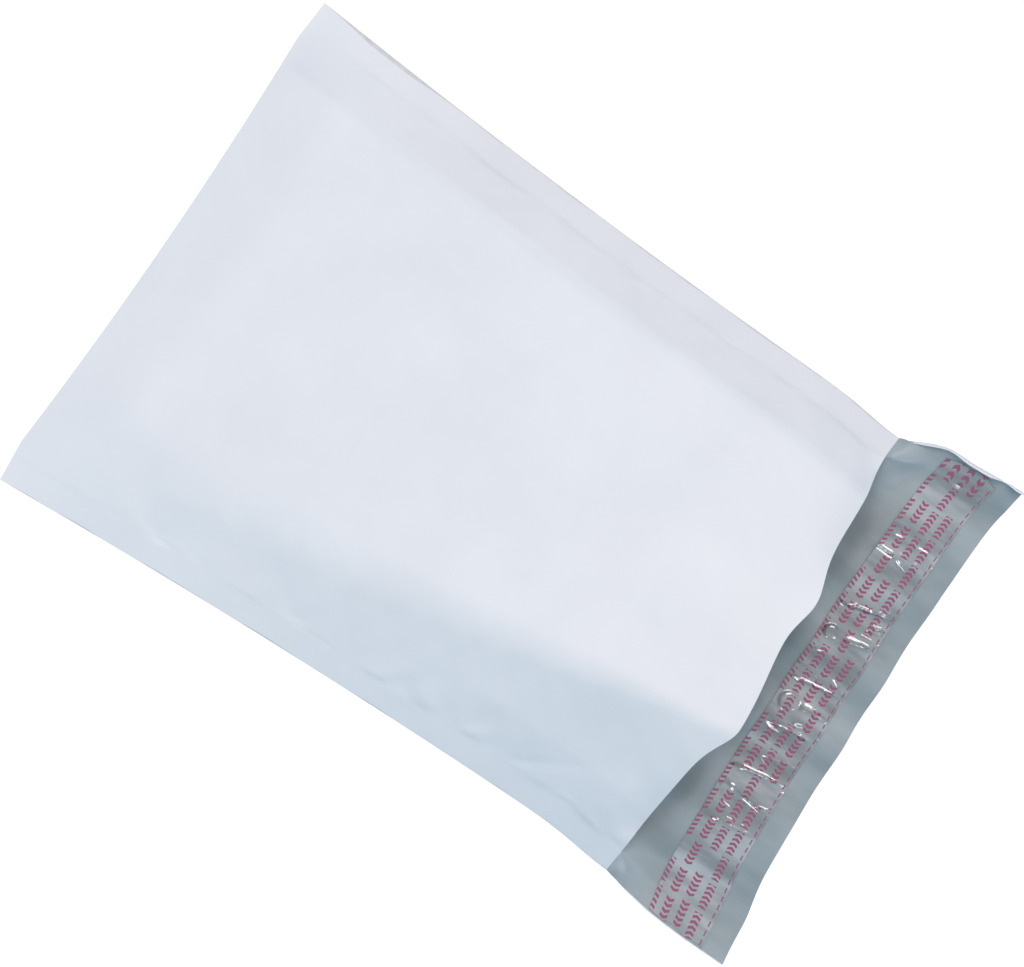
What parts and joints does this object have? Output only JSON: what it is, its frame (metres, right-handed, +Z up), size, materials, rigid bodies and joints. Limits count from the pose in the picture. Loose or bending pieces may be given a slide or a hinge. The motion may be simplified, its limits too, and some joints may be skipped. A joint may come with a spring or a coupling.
{
  "type": "poly bubble mailer",
  "caption": "Padded plastic mailing envelope lying on its back, empty, with a gaping mouth and its adhesive closing flap laid open under a release liner.",
  "frame": {"origin": "on the table, under the middle of the mailer's outline", "axes": "+X from the closed end towards the flap, +Z up out of the front panel"},
  "size_m": [0.2498, 0.165, 0.0336],
  "materials": {
    "outer_film": "satin white film, grey on its inner face",
    "bubble_film": "clear soft film",
    "adhesive": "tacky hot melt",
    "liner_film": "clear glossy film with a plain repeated print"
  },
  "bodies": {
    "root": {"outer_envelope": "outer_film", "bubble_lining": "bubble_film", "adhesive_strip": "adhesive", "release_liner": "liner_film"}
  },
  "joints": []
}
